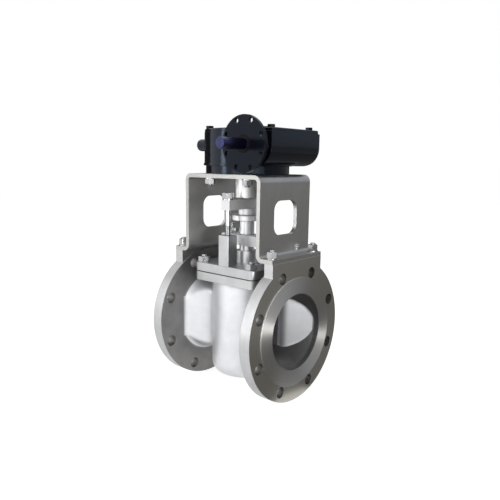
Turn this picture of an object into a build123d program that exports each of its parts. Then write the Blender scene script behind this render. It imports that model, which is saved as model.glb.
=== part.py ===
from build123d import *

import os
from math import acos, cos, pi, radians, sin, sqrt, tan

# Gear-operated plug valve, 6 inch, class 150, short pattern, drawn closed. Millimetres.
# X runs along the flow, from the inlet flange to the outlet flange, and Z up along the stem.
# The origin is the centre of the inlet bolt circle, on the face that its bolt holes open through.
# Places across the stem are measured from the stem's axis, and heights from the flow axis.

# Pipe flanges
face_to_face = 267.0
flange_r = 139.7
flange_thickness = 25.4
raised_face_r = 108.0
raised_face_height = 1.6
bore_r = 76.0
bolt_circle_r = 120.65
bolt_hole_r = 11.1
bolt_count = 8

# Body
barrel_r = 70.0
barrel_bottom = -111.0
barrel_edge_r = 24.0
barrel_floor = 18.0
passage_wall = 9.0
port_half_width = 32.0
port_r = 60.0
throat_length = 60.0
flare_bend_x = 72.0
flare_bend_r = 30.0
mouth_depth = 10.5
cast_fillet_r = 10.0
pad_length = 160.0
pad_width = 144.0
pad_corner_r = 10.0
pad_top = 102.8
pad_thickness = 17.2
ear_half_width = 77.0
ear_thickness = 20.0
ear_top = 142.5

# Plug and its sleeve
plug_mid_r = 54.0
plug_taper = 4.0 / 80.0
plug_half_height = 80.0
plug_edge = 1.5
plug_port_half_width = 31.0
sleeve_thickness = 3.0
stem_r = 11.0
stem_collar_r = 10.0
stem_neck_r = 9.0

# Clearances
running_gap = 0.3
fit_gap = 0.05
hole_clearance = 0.6

# Bonnet and packing
gasket_thickness = 2.0
gasket_inset = 1.5
bonnet_thickness = 17.7
plug_top_gap = 2.0
diaphragm_thickness = 3.0
neck_r = 22.0
neck_height = 25.0
packing_r = 15.2
packing_depth = 35.0
packing_ring_count = 5
packing_ring_height = 4.4
post_width = 27.0
post_depth = 26.0
post_height = 60.5
yoke_stud_y = 57.0

# Gland
gland_half_length = 56.0
gland_half_width = 20.5
gland_thickness = 21.0
gland_lift = 11.5
gland_corner_r = 6.0
follower_r = 15.0
follower_collar_r = 19.0
follower_collar_height = 5.0
gland_stud_x = 40.0

# Thrust parts under the bridge bar
bar_lift = 50.0
bar_height = 20.0
bar_width = 22.0
bar_end = 8.5
thrust_washer_r = 19.6
thrust_washer_height = 12.0
collar_flange_r = 33.0
collar_flange_height = 11.0
collar_hub_r = 15.3

# Studs, nuts and washers
stud_r = 6.0
nut_across_flats = 21.0
nut_height = 11.5
foot_washer_r = 10.5
gearbox_washer_r = 10.0
washer_thickness = 2.5
stud_tip = 3.5
yoke_stud_tip = 1.0
gland_stud_rise = 12.0
stud_seat = 15.0
base_stud_seat = 12.0
blind_gap = 2.0
edge_break = 0.8
bonnet_stud_x = 65.0
bonnet_stud_y = 59.0
foot_stud_inset = 11.9
foot_stud_y = 65.0
small_nut_across_flats = 18.0
small_nut_height = 10.0

# Bracket
foot_length = 31.5
bracket_half_width = 78.0
bracket_plate = 8.0
bracket_height = 160.5
bend_outer_r = 14.0
window_width = 70.5
window_rise = 46.0
window_height = 66.5
window_corner_r = 19.0
bracket_hole_r = 28.0
gearbox_stud_x = 50.0
gearbox_stud_y = 57.0

# Gearbox housing
base_r = 84.0
base_thickness = 16.0
drum_r = 87.0
drum_wall = 8.0
drum_height = 65.0
drum_lip_r = 88.5
drum_lip_height = 5.0
floor_thickness = 8.0
cover_thickness = 6.0
cover_inset = 0.6
cover_edge = 1.5
cover_stud_r = 4.0
cover_boss_r = 8.0
cover_boss_angle = 120.0
bolt_head_across_flats = 13.0
bolt_head_height = 5.3
bolt_length = 18.0
tunnel_r = 36.0
tunnel_drop = 3.5
tunnel_near = -60.0
tunnel_far = 87.0
tunnel_boss_r = 27.0
tunnel_boss_end = -78.0
tunnel_bore_r = 22.0
tunnel_bolt_x = 26.0
tunnel_bolt_near = -50.0
tunnel_bolt_far = 68.0
end_cap_thickness = 6.0
end_cap_spigot = 3.0
end_cap_inset = 1.0
end_cap_screw_circle_r = 27.0
cap_screw_r = 3.0
cap_screw_head_r = 4.5
cap_screw_head_height = 6.0
cap_screw_socket = 5.0
cap_screw_reach = 7.0
base_screw_circle_r = 62.0
base_screw_r = 4.0
base_screw_head_r = 6.4
base_screw_head_height = 8.4

# Worm and wheel
gear_module = 3.0
wheel_teeth = 40
worm_pitch_r = 14.0
pressure_angle = 20.0
backlash = 0.6
wheel_face_width = 26.0
worm_rise = 40.0
thread_turns = 5
sector_start = -125.0
sector_end = 35.0
hub_r = 34.0
journal_r = 30.0
top_journal_r = 24.0
shaft_r = 17.5

# Input side
disc_r = 52.0
disc_thickness = 6.0
disc_face = -97.0
disc_hole_circle_r = 44.5
disc_hole_r = 4.5
disc_hole_count = 8
adapter_flange_r = 33.0
adapter_flange_thickness = 5.0
adapter_neck_r = 19.5
adapter_screw_circle_r = 26.0
input_r = 10.5
input_length = 61.0
keyway_width = 6.0
keyway_depth = 3.5
keyway_length = 25.0
keyway_end = 3.0
bearing_width = 14.0
bearing_r = 11.0
shoulder_r = 13.0
seal_r = 17.0
seal_journal_r = 10.8
seal_width = 6.0

# Coupling
coupling_r = 26.0
coupling_gap = 1.5
coupling_edge = 1.5
stem_end_depth = 13.0
shaft_end_depth = 12.0
key_end = 5.0
stem_key_width = 5.0
drive_key_width = 10.0
drive_key_height = 8.0

# Stops and small parts of the gearbox
stop_y = 52.0
stop_screw_r = 5.0
stop_boss_r = 12.0
stop_boss_x = 77.5
stop_cap_r = 11.5
stop_cap_length = 5.0
stop_cap_wall = 2.0
indicator_r = 27.0
indicator_height = 4.5
vent_x = 57.0
vent_y = -14.0
vent_r = 5.0
vent_height = 3.0
vent_head_across_flats = 11.0
vent_head_height = 5.0

# Sizes that follow from the ones above
stem_x = face_to_face / 2 - raised_face_height
foot_stud_x = stem_x - foot_stud_inset
bracket_foot_end = stem_x - 1
bracket_half_span = bracket_foot_end - foot_length
outlet_x = 2 * stem_x
flange_back_x = outlet_x + raised_face_height - flange_thickness
pad_bottom = pad_top - pad_thickness
bonnet_bottom = pad_top + gasket_thickness
bonnet_top = bonnet_bottom + bonnet_thickness
neck_top = bonnet_top + neck_height
packing_floor = neck_top - packing_depth
packing_top = packing_floor + packing_ring_count * packing_ring_height
post_top = bonnet_top + post_height
gland_bottom = neck_top + gland_lift
gland_top = gland_bottom + gland_thickness
bar_bottom = post_top + bar_lift
bar_top = bar_bottom + bar_height
bar_half_length = yoke_stud_y + bar_end
collar_top = bar_bottom - thrust_washer_height - running_gap
collar_bottom = gland_top + 1.0
bracket_top = ear_top + bracket_height
window_bottom = ear_top + window_rise
window_top = window_bottom + window_height
base_bottom = bracket_top
base_top = base_bottom + base_thickness
drum_top = base_top + drum_height
cover_top = drum_top + cover_thickness
worm_height = base_top + worm_rise
coupling_bottom = bar_top + coupling_gap
coupling_top = bracket_top - coupling_gap / 3
stem_top = bracket_top - stem_end_depth
shaft_top = cover_top - shaft_end_depth
floor_top = base_top + floor_thickness
cavity_r = drum_r - drum_wall
stop_boss_root = cavity_r * 0.7
wheel_pitch_r = gear_module * wheel_teeth / 2
worm_offset = wheel_pitch_r + worm_pitch_r
worm_x = stem_x + worm_offset
lead = pi * gear_module
tooth_gap = gear_module / 4
worm_root_r = worm_pitch_r - gear_module - tooth_gap
wheel_root_r = wheel_pitch_r - gear_module - tooth_gap
end_cap_face = tunnel_far + end_cap_thickness
input_end = disc_face - input_length

stem_axis = Axis((stem_x, 0, 0), (0, 0, 1))
worm_axis = Axis((worm_x, 0, worm_height), (0, 1, 0))
stem_section = Plane((stem_x, 0, 0), x_dir=(1, 0, 0), z_dir=(0, -1, 0))
worm_section = Plane((worm_x, 0, worm_height), x_dir=(0, 1, 0), z_dir=(-1, 0, 0))
middle_wall = Plane.YZ.offset(stem_x)


def level(z):
    """Horizontal plane at height z, centred on the stem."""
    return Plane((stem_x, 0, z))


def across_worm(y):
    """Plane square to the worm at y, with its own X towards the stem and its Y up."""
    return Plane((worm_x, y, worm_height), x_dir=(-1, 0, 0), z_dir=(0, 1, 0))


def four_corners(x, y, z):
    """Places at plus and minus x and y about the stem, at height z."""
    return [level(z) * Pos(i * x, j * y) for i in (-1, 1) for j in (-1, 1)]


def turned(outline, plane=stem_section, axis=stem_axis):
    """Solid of revolution from the points of its half section."""
    with BuildPart() as solid:
        with BuildSketch(plane):
            with BuildLine():
                Polyline(*outline, close=True)
            make_face()
        revolve(axis=axis)
    return solid.part


def turned_on_stem(outline):
    """Solid of revolution about the stem from (radius, height) points."""
    return turned(outline)


def turned_on_worm(outline):
    """Solid of revolution about the worm from (place along the worm, radius) points."""
    return turned(outline, worm_section, worm_axis)


def hex_nut(across_flats, height, hole_r):
    """Hexagon nut standing on the XY plane, with its corners turned off at both ends."""
    corner_r = across_flats / 2 / cos(radians(30))
    drop = (corner_r - across_flats / 2) * 0.55
    with BuildPart() as nut:
        with BuildSketch():
            RegularPolygon(across_flats / 2, 6, major_radius=False)
        extrude(amount=height)
        with BuildSketch(Plane.XZ):
            with BuildLine():
                Polyline((hole_r, 0), (across_flats / 2, 0), (corner_r, drop), (corner_r, height - drop),
                         (across_flats / 2, height), (hole_r, height), close=True)
            make_face()
        revolve(axis=Axis.Z, mode=Mode.INTERSECT)
    return nut.part


def hex_bolt(across_flats, head_height, shank_r, length):
    """Hexagon bolt with the underside of its head on the XY plane and its shank below."""
    with BuildPart() as bolt:
        add(hex_nut(across_flats, head_height, 0))
        Cylinder(shank_r, length, align=(Align.CENTER, Align.CENTER, Align.MAX))
    return bolt.part


def washer(outer_r, hole_r, thickness):
    """Plain washer lying on the XY plane."""
    with BuildPart() as ring:
        Cylinder(outer_r, thickness, align=(Align.CENTER, Align.CENTER, Align.MIN))
        Hole(hole_r)
    return ring.part


def stud(radius, length):
    """Stud standing on the XY plane, with a chamfer at each end."""
    with BuildPart() as rod:
        Cylinder(radius, length, align=(Align.CENTER, Align.CENTER, Align.MIN))
        chamfer(rod.edges().filter_by(GeomType.CIRCLE), edge_break)
    return rod.part


def copies(piece, places):
    """Separate copies of one piece, one at each place."""
    with BuildPart() as group:
        with Locations(*places):
            add(piece)
    return group


def key(radius, thickness, width, low, high):
    """Straight key on the side of a shaft about the stem, centred on a radius, from low to high."""
    with BuildPart() as bar:
        with BuildSketch(level(low)):
            with Locations((radius, 0)):
                Rectangle(thickness, width)
        extrude(amount=high - low)
    return bar.part


def plug_radius(z):
    """Radius of the plug's cone at height z."""
    return plug_mid_r + plug_taper * z


def cone(gap, low, high):
    """Solid cone about the stem, the plug's own cone grown by a gap, from low to high."""
    return turned_on_stem([(0, low), (plug_radius(low) + gap, low),
                           (plug_radius(high) + gap, high), (0, high)])


def passage(wall):
    """Way from the plug to the outlet: a round taper with flat sides that flare to the bore."""
    throat = port_half_width + wall
    mouth = bore_r + wall
    end_x = outlet_x + raised_face_height
    flare_x = end_x - mouth_depth
    with BuildPart() as way:
        with BuildSketch():
            with BuildLine():
                Polyline((stem_x, 0), (stem_x, port_r + wall), (stem_x + throat_length, port_r + wall),
                         (flare_x, mouth), (end_x, mouth), (end_x, 0), close=True)
            make_face()
        revolve(axis=Axis.X)
        with BuildSketch(Plane.XY.offset(-mouth)):
            with BuildLine():
                FilletPolyline((stem_x, throat), (stem_x + flare_bend_x, throat), (flare_x, mouth + 1),
                               radius=flare_bend_r)
                Polyline((flare_x, mouth + 1), (end_x, mouth + 1), (end_x, 0), (stem_x, 0), (stem_x, throat))
            make_face()
            mirror(about=Plane.XZ)
        extrude(amount=2 * mouth, mode=Mode.INTERSECT)
    return way.part


# Valve body: two flanges with bracket ears, flared passages, a barrel and the bonnet pad
outer_way = passage(passage_wall)
inner_way = passage(0)
with BuildPart() as barrel:
    with BuildSketch(level(barrel_bottom)):
        Circle(barrel_r)
    extrude(amount=pad_top - barrel_bottom)
    fillet(barrel.edges().filter_by(GeomType.CIRCLE).sort_by(Axis.Z)[0], barrel_edge_r)

# Upright webs that round the corners between the barrel and the flat sides of the passages
throat_half_width = port_half_width + passage_wall
web_height = sqrt((port_r + passage_wall) ** 2 - throat_half_width ** 2)
with BuildPart() as webs:
    with BuildSketch(level(-web_height)) as web_outline:
        Circle(barrel_r)
        Rectangle(2 * flare_bend_x, 2 * throat_half_width)
        corners = [v for v in web_outline.vertices() if abs(v.X - stem_x) < flare_bend_x - 1]
        fillet(corners, cast_fillet_r)
    extrude(amount=2 * web_height)

with BuildPart() as valve_body:
    with BuildSketch(Plane.YZ.offset(flange_back_x)):
        Circle(flange_r)
    extrude(amount=outlet_x - flange_back_x)
    add(split(outer_way, bisect_by=Plane.YZ.offset(outlet_x), keep=Keep.BOTTOM, mode=Mode.PRIVATE))
    back_edges = valve_body.edges().filter_by_position(Axis.X, flange_back_x - 0.1, flange_back_x + 0.1)
    fillet([e for e in back_edges if e.bounding_box().max.Z < flange_r - 1], cast_fillet_r)
    with BuildSketch(Plane.YZ.offset(outlet_x)):
        Circle(raised_face_r)
    extrude(amount=raised_face_height)
    with BuildSketch(Plane.YZ.offset(outlet_x - ear_thickness)):
        with Locations((0, ear_top / 2)):
            Rectangle(2 * ear_half_width, ear_top)
    extrude(amount=ear_thickness)
    with BuildSketch(Plane.YZ.offset(outlet_x)):
        with PolarLocations(bolt_circle_r, bolt_count, start_angle=180 / bolt_count):
            Circle(bolt_hole_r)
    extrude(amount=-flange_thickness, mode=Mode.SUBTRACT)
    mirror(about=middle_wall)
    add(barrel.part)
    add(webs.part)
    with BuildSketch(level(pad_bottom)):
        RectangleRounded(pad_length, pad_width, pad_corner_r)
    extrude(amount=pad_thickness)
    add(inner_way, mode=Mode.SUBTRACT)
    mirror(inner_way, about=middle_wall, mode=Mode.SUBTRACT)
    add(cone(running_gap + sleeve_thickness, barrel_bottom + barrel_floor, pad_top), mode=Mode.SUBTRACT)
    with Locations(*four_corners(bonnet_stud_x, bonnet_stud_y, pad_top)):
        Hole(stud_r, depth=stud_seat)
    with Locations(*four_corners(foot_stud_x, foot_stud_y, ear_top)):
        Hole(stud_r, depth=stud_seat + blind_gap)

# Sleeve between the body and the plug, open at both passages
with BuildPart() as plug_sleeve:
    add(cone(running_gap + sleeve_thickness, -plug_half_height, plug_half_height))
    add(cone(running_gap, -plug_half_height, plug_half_height), mode=Mode.SUBTRACT)
    with BuildSketch(Plane.YZ):
        Circle(port_r)
        Rectangle(2 * port_half_width, 2 * port_r, mode=Mode.INTERSECT)
    extrude(amount=outlet_x, mode=Mode.SUBTRACT)

# Keys that carry the turn: stem to coupling, stem to collar, and coupling to worm wheel
coupling_key_bar = key(stem_neck_r, stem_key_width, stem_key_width, coupling_bottom, stem_top - key_end)
collar_key_bar = key(stem_collar_r, stem_key_width, stem_key_width, collar_bottom, collar_top)
drive_key_bar = key(shaft_r, drive_key_height, drive_key_width, floor_top, shaft_top - key_end)

# Plug with its stem: a taper plug with one port, which lies across the flow when closed
with BuildPart() as plug:
    add(cone(0, -plug_half_height, plug_half_height))
    chamfer(plug.edges().filter_by(GeomType.CIRCLE), plug_edge)
    with BuildSketch(stem_section):
        Circle(port_r)
        Rectangle(2 * plug_port_half_width, 2 * port_r, mode=Mode.INTERSECT)
    extrude(amount=2 * plug_mid_r, both=True, mode=Mode.SUBTRACT)
    add(turned_on_stem([(0, plug_half_height - 1), (stem_r, plug_half_height - 1), (stem_r, collar_bottom),
                        (stem_collar_r, collar_bottom), (stem_collar_r, collar_top),
                        (stem_neck_r, collar_top), (stem_neck_r, stem_top - 1),
                        (stem_neck_r - 1, stem_top), (0, stem_top)]))
    add(coupling_key_bar, mode=Mode.SUBTRACT)
    add(collar_key_bar, mode=Mode.SUBTRACT)

# Bonnet with its packing box, the two posts and the gasket and diaphragm under it
spigot_r = plug_radius(plug_half_height) + running_gap + sleeve_thickness
spigot_bottom = plug_half_height + plug_top_gap + diaphragm_thickness
with BuildPart() as bonnet:
    with BuildSketch(level(bonnet_bottom)):
        RectangleRounded(pad_length, pad_width, pad_corner_r)
    extrude(amount=bonnet_thickness)
    chamfer(bonnet.faces().sort_by(Axis.Z)[-1].edges(), 1)
    with BuildSketch(level(spigot_bottom)):
        Circle(spigot_r)
    extrude(amount=bonnet_bottom - spigot_bottom)
    with BuildSketch(level(bonnet_top)):
        Circle(neck_r)
    extrude(amount=neck_height)
    with BuildSketch(level(bonnet_top)):
        with Locations((0, yoke_stud_y), (0, -yoke_stud_y)):
            RectangleRounded(post_width, post_depth, 1.5)
    extrude(amount=post_height)
    with Locations(level(neck_top)):
        Hole(packing_r, depth=packing_depth)
        Hole(stem_r + hole_clearance / 2)
    with Locations(*four_corners(bonnet_stud_x, bonnet_stud_y, bonnet_top)):
        Hole(stud_r + hole_clearance)
    with Locations(*[level(post_top) * Pos(0, j * yoke_stud_y) for j in (-1, 1)]):
        Hole(stud_r, depth=stud_seat)
    with Locations(*[level(bonnet_top) * Pos(i * gland_stud_x, 0) for i in (-1, 1)]):
        Hole(stud_r - 1, depth=stud_seat)

with BuildPart() as bonnet_gasket:
    with BuildSketch(level(pad_top)):
        RectangleRounded(pad_length - 2 * gasket_inset, pad_width - 2 * gasket_inset,
                         pad_corner_r - gasket_inset)
        Circle(plug_radius(pad_top) + running_gap + sleeve_thickness, mode=Mode.SUBTRACT)
        with GridLocations(2 * bonnet_stud_x, 2 * bonnet_stud_y, 2, 2):
            Circle(stud_r + hole_clearance, mode=Mode.SUBTRACT)
    extrude(amount=gasket_thickness)

with BuildPart() as diaphragm:
    with BuildSketch(level(spigot_bottom - diaphragm_thickness)):
        Circle(spigot_r)
        Circle(stem_r + running_gap, mode=Mode.SUBTRACT)
    extrude(amount=diaphragm_thickness)

with BuildPart() as packing_rings:
    for ring in range(packing_ring_count):
        with BuildSketch(level(packing_floor + ring * packing_ring_height)):
            Circle(packing_r)
            Circle(stem_r + fit_gap, mode=Mode.SUBTRACT)
        extrude(amount=packing_ring_height - 0.2)

# Gland: the follower presses the packing and the gland flange presses the follower
follower_shoulder = gland_bottom + follower_collar_height
with BuildPart() as gland_follower:
    add(turned_on_stem([(stem_r + running_gap, packing_top), (follower_r, packing_top),
                        (follower_r, gland_bottom), (follower_collar_r, gland_bottom),
                        (follower_collar_r, follower_shoulder),
                        (stem_r + running_gap, follower_shoulder)]))

with BuildPart() as gland_flange:
    with BuildSketch(level(gland_bottom)):
        RectangleRounded(2 * gland_half_length, 2 * gland_half_width, gland_corner_r)
    extrude(amount=gland_thickness)
    chamfer(gland_flange.faces().sort_by(Axis.Z)[-1].edges(), 1)
    with Locations(level(gland_top)):
        Hole(stem_r + 1)
    with BuildSketch(level(gland_bottom)):
        Circle(follower_collar_r)
    extrude(amount=follower_collar_height, mode=Mode.SUBTRACT)
    with Locations(*[level(gland_top) * Pos(i * gland_stud_x, 0) for i in (-1, 1)]):
        Hole(stud_r - 1 + hole_clearance)

gland_stud_bottom = bonnet_top - stud_seat
gland_studs = copies(stud(stud_r - 1, gland_top + small_nut_height + gland_stud_rise - gland_stud_bottom),
                     [level(gland_stud_bottom) * Pos(i * gland_stud_x, 0) for i in (-1, 1)])
gland_nuts = copies(hex_nut(small_nut_across_flats, small_nut_height, stud_r - 1),
                    [level(gland_top) * Pos(i * gland_stud_x, 0) for i in (-1, 1)])

# Thrust collar on the stem, its washer, and the bar that holds both down
with BuildPart() as thrust_collar:
    add(turned_on_stem([(stem_collar_r, collar_bottom), (collar_hub_r, collar_bottom),
                        (collar_hub_r, collar_top - collar_flange_height),
                        (collar_flange_r - 1, collar_top - collar_flange_height),
                        (collar_flange_r, collar_top - collar_flange_height + 1),
                        (collar_flange_r, collar_top - 1), (collar_flange_r - 1, collar_top),
                        (stem_collar_r, collar_top)]))
    add(collar_key_bar, mode=Mode.SUBTRACT)

with BuildPart() as collar_key:
    add(collar_key_bar)

with BuildPart() as thrust_washer:
    with BuildSketch(level(bar_bottom - thrust_washer_height)):
        Circle(thrust_washer_r)
        Circle(stem_neck_r + running_gap, mode=Mode.SUBTRACT)
    extrude(amount=thrust_washer_height)
    chamfer(thrust_washer.edges().group_by(Axis.Z)[0], edge_break)

with BuildPart() as bridge_bar:
    with BuildSketch(level(bar_bottom)):
        RectangleRounded(bar_width, 2 * bar_half_length, 2)
    extrude(amount=bar_height)
    with Locations(level(bar_top)):
        Hole(stem_neck_r + fit_gap)
    with Locations(*[level(bar_top) * Pos(0, j * yoke_stud_y) for j in (-1, 1)]):
        Hole(stud_r + hole_clearance)

yoke_places = [(0, j * yoke_stud_y) for j in (-1, 1)]
yoke_stud_bottom = post_top - stud_seat
yoke_studs = copies(stud(stud_r, bar_top + washer_thickness + nut_height + yoke_stud_tip - yoke_stud_bottom),
                    [level(yoke_stud_bottom) * Pos(*place) for place in yoke_places])
yoke_washers = copies(washer(bar_width / 2, stud_r, washer_thickness),
                      [level(bar_top) * Pos(*place) for place in yoke_places])
yoke_nuts = copies(hex_nut(nut_across_flats, nut_height, stud_r),
                   [level(bar_top + washer_thickness) * Pos(*place) for place in yoke_places])

# Bonnet and foot fasteners
bonnet_studs = copies(stud(stud_r, bonnet_top + nut_height + stud_tip - pad_top + stud_seat),
                      four_corners(bonnet_stud_x, bonnet_stud_y, pad_top - stud_seat))
bonnet_nuts = copies(hex_nut(nut_across_flats, nut_height, stud_r),
                     four_corners(bonnet_stud_x, bonnet_stud_y, bonnet_top))
foot_top = ear_top + bracket_plate
foot_studs = copies(stud(stud_r, bracket_plate + washer_thickness + nut_height + stud_tip + stud_seat),
                    four_corners(foot_stud_x, foot_stud_y, ear_top - stud_seat))
foot_washers = copies(washer(foot_washer_r, stud_r, washer_thickness),
                      four_corners(foot_stud_x, foot_stud_y, foot_top))
foot_nuts = copies(hex_nut(small_nut_across_flats, nut_height, stud_r),
                   four_corners(foot_stud_x, foot_stud_y, foot_top + washer_thickness))

# Bracket: one bent plate with a window in each leg
bend_inner_r = bend_outer_r - bracket_plate
inner_span = bracket_half_span - bracket_plate
with BuildPart() as bracket:
    with BuildSketch(stem_section):
        with BuildLine():
            FilletPolyline((-bracket_foot_end, foot_top), (-bracket_half_span, foot_top),
                           (-bracket_half_span, bracket_top), (bracket_half_span, bracket_top),
                           (bracket_half_span, foot_top), (bracket_foot_end, foot_top),
                           radius=(bend_inner_r, bend_outer_r, bend_outer_r, bend_inner_r))
            Line((bracket_foot_end, foot_top), (bracket_foot_end, ear_top))
            FilletPolyline((bracket_foot_end, ear_top), (inner_span, ear_top),
                           (inner_span, bracket_top - bracket_plate),
                           (-inner_span, bracket_top - bracket_plate),
                           (-inner_span, ear_top), (-bracket_foot_end, ear_top),
                           radius=(bend_outer_r, bend_inner_r, bend_inner_r, bend_outer_r))
            Line((-bracket_foot_end, ear_top), (-bracket_foot_end, foot_top))
        make_face()
    extrude(amount=bracket_half_width, both=True)
    with BuildSketch(Plane.YZ.offset(stem_x - bracket_half_span - 1)):
        with Locations((0, (window_bottom + window_top) / 2)):
            RectangleRounded(window_width, window_top - window_bottom, window_corner_r)
    extrude(amount=2 * bracket_half_span + 2, mode=Mode.SUBTRACT)
    with Locations(level(bracket_top)):
        Hole(bracket_hole_r, depth=2 * bracket_plate)
    with Locations(*four_corners(gearbox_stud_x, gearbox_stud_y, bracket_top)):
        Hole(stud_r + hole_clearance, depth=2 * bracket_plate)
    with Locations(*four_corners(foot_stud_x, foot_stud_y, foot_top)):
        Hole(stud_r + hole_clearance, depth=2 * bracket_plate)

# Studs that hang from the gearbox base through the bracket, with washers and nuts under it
plate_bottom = bracket_top - bracket_plate
gearbox_stud_length = base_stud_seat + bracket_plate + washer_thickness + small_nut_height + stud_tip
gearbox_studs = copies(stud(stud_r, gearbox_stud_length),
                       four_corners(gearbox_stud_x, gearbox_stud_y,
                                    bracket_top + base_stud_seat - gearbox_stud_length))
gearbox_washers = copies(washer(gearbox_washer_r, stud_r, washer_thickness),
                         four_corners(gearbox_stud_x, gearbox_stud_y, plate_bottom - washer_thickness))
gearbox_nuts = copies(hex_nut(small_nut_across_flats, small_nut_height, stud_r),
                      four_corners(gearbox_stud_x, gearbox_stud_y,
                                   plate_bottom - washer_thickness - small_nut_height))

# Gearbox base
with BuildPart() as gearbox_base:
    with BuildSketch(level(base_bottom)):
        Circle(base_r)
    extrude(amount=base_thickness)
    chamfer(gearbox_base.edges().group_by(Axis.Z)[0], 1)
    with Locations(level(base_top)):
        Hole(shaft_r + 1)
        Hole(journal_r + fit_gap, depth=base_thickness / 2)
    with Locations(*four_corners(gearbox_stud_x, gearbox_stud_y, base_bottom + base_stud_seat)):
        Hole(stud_r, depth=stud_seat)
    with Locations(level(base_bottom)):
        with PolarLocations(base_screw_circle_r, 4):
            Cylinder(base_screw_r, base_thickness, align=(Align.CENTER, Align.CENTER, Align.MIN),
                     mode=Mode.SUBTRACT)
            Cylinder(base_screw_head_r + fit_gap, base_screw_head_height, align=(Align.CENTER, Align.CENTER, Align.MIN),
                     mode=Mode.SUBTRACT)

with BuildPart() as base_screws:
    with Locations(level(base_bottom)):
        with PolarLocations(base_screw_circle_r, 4):
            Cylinder(base_screw_head_r, base_screw_head_height, align=(Align.CENTER, Align.CENTER, Align.MIN))
            Cylinder(base_screw_r, base_thickness + floor_thickness - blind_gap,
                     align=(Align.CENTER, Align.CENTER, Align.MIN))


def tunnel_outline(place, inset=0):
    """Worm housing's section at a place along the worm: flat on top and at the sides, and round below."""
    rise = drum_top - worm_height
    with BuildSketch(across_worm(place)) as outline:
        with BuildLine():
            Polyline((-tunnel_r, -tunnel_drop), (-tunnel_r, rise), (tunnel_r, rise), (tunnel_r, -tunnel_drop))
            ThreePointArc((tunnel_r, -tunnel_drop), (0, -tunnel_drop - tunnel_r), (-tunnel_r, -tunnel_drop))
        make_face()
        if inset:
            offset(amount=-inset, mode=Mode.REPLACE)
    return outline.sketch


def stop_places(x):
    """Places of the two stop screws at x from the stem, each facing away from it."""
    return [Plane((stem_x - x, j * stop_y, worm_height), x_dir=(0, 0, 1), z_dir=(-1, 0, 0)) for j in (-1, 1)]


def cover_bolt_places(z):
    """Places of the cover's bolts at height z."""
    round_places = [Pos(cavity_r * cos(radians(j * cover_boss_angle)),
                        cavity_r * sin(radians(j * cover_boss_angle))) for j in (-1, 1)]
    tunnel_places = [Pos(worm_offset + tunnel_bolt_x, y) for y in (tunnel_bolt_near, tunnel_bolt_far)]
    return [level(z) * place for place in round_places + tunnel_places]


# Gearbox housing: a drum for the wheel and a tunnel for the worm
with BuildPart() as gearbox_housing:
    with BuildSketch(level(base_top)):
        Circle(drum_r)
    extrude(amount=drum_height)
    with BuildSketch(level(base_top)):
        Circle(drum_lip_r)
    extrude(amount=drum_lip_height)
    extrude(tunnel_outline(tunnel_near), amount=tunnel_far - tunnel_near)
    with BuildSketch(across_worm(tunnel_boss_end)):
        Circle(tunnel_boss_r)
    extrude(amount=tunnel_near - tunnel_boss_end)
    with BuildSketch(level(floor_top)):
        Circle(cavity_r)
        with PolarLocations(cavity_r, 2, start_angle=-cover_boss_angle,
                            angular_range=2 * cover_boss_angle, endpoint=True):
            Circle(cover_boss_r, mode=Mode.SUBTRACT)
    extrude(amount=drum_height, mode=Mode.SUBTRACT)
    with Locations(*stop_places(stop_boss_root)):
        Cylinder(stop_boss_r, stop_boss_x - stop_boss_root, align=(Align.CENTER, Align.CENTER, Align.MIN))
    with BuildSketch(across_worm(tunnel_boss_end)):
        Circle(tunnel_bore_r)
    extrude(amount=tunnel_far - tunnel_boss_end, mode=Mode.SUBTRACT)
    with Locations(level(floor_top)):
        Hole(journal_r + fit_gap)
    with Locations(*stop_places(stop_boss_x)):
        Hole(stop_screw_r, depth=stop_boss_x)
    with Locations(*cover_bolt_places(drum_top)):
        Hole(cover_stud_r, depth=bolt_length)
    with Locations(level(base_top)):
        with PolarLocations(base_screw_circle_r, 4):
            Cylinder(base_screw_r, floor_thickness - blind_gap, align=(Align.CENTER, Align.CENTER, Align.MIN),
                     mode=Mode.SUBTRACT)
    with Locations(across_worm(tunnel_far)):
        with PolarLocations(end_cap_screw_circle_r, 4, start_angle=45):
            Hole(cap_screw_r, depth=cap_screw_reach + blind_gap)
    with Locations(across_worm(tunnel_boss_end)):
        with PolarLocations(adapter_screw_circle_r, 4, start_angle=45):
            Cylinder(cap_screw_r, cap_screw_reach + blind_gap, mode=Mode.SUBTRACT,
                     align=(Align.CENTER, Align.CENTER, Align.MIN))

with BuildPart() as gearbox_cover:
    with BuildSketch(level(drum_top)):
        Circle(drum_r - cover_inset)
        with Locations((worm_offset, (tunnel_near + tunnel_far) / 2)):
            Rectangle(2 * (tunnel_r - cover_inset), tunnel_far - tunnel_near - 2 * cover_inset)
    extrude(amount=cover_thickness)
    chamfer(gearbox_cover.edges().group_by(Axis.Z)[-1], cover_edge)
    with Locations(level(cover_top)):
        Hole(top_journal_r + fit_gap)
    with Locations(*cover_bolt_places(cover_top)):
        Hole(cover_stud_r + hole_clearance)

cover_bolts = copies(hex_bolt(bolt_head_across_flats, bolt_head_height, cover_stud_r,
                              cover_thickness + bolt_length - blind_gap), cover_bolt_places(cover_top))

# Closed cap at the worm's far end
with BuildPart() as worm_end_cap:
    extrude(tunnel_outline(tunnel_far, end_cap_inset), amount=end_cap_thickness)
    with Locations(across_worm(end_cap_face)):
        with PolarLocations(end_cap_screw_circle_r, 4, start_angle=45):
            Hole(cap_screw_r, depth=end_cap_thickness)
    with BuildSketch(across_worm(tunnel_far)):
        Circle(tunnel_bore_r)
    extrude(amount=-end_cap_spigot)


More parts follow.
